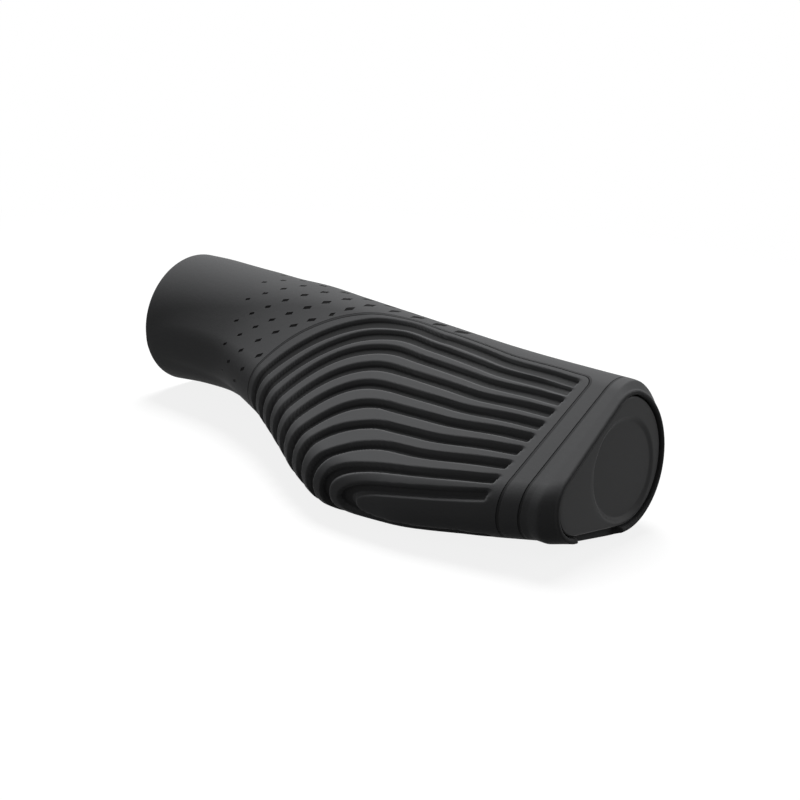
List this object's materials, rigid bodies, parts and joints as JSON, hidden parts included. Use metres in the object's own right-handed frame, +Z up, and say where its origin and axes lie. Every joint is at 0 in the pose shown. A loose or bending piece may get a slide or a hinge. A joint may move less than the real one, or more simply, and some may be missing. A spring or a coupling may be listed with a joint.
{
  "type": "bicycle handlebar grip",
  "caption": "Ergonomic rubber handlebar grip for the right hand, with a ribbed palm wing, dimpled thumb area and an end plate let into a raked lip.",
  "frame": {"origin": "on the bar axis, at the inboard end face", "axes": "+X outboard along the bar axis, +Z up, the palm wing reaches back along -Y and droops a little"},
  "size_m": [0.1311, 0.055, 0.0334],
  "materials": {
    "grip_rubber": "fine matte mould grain",
    "cap_plastic": "smooth satin"
  },
  "bodies": {
    "root": {"grip_body": "grip_rubber", "end_cap": "cap_plastic"}
  },
  "joints": []
}
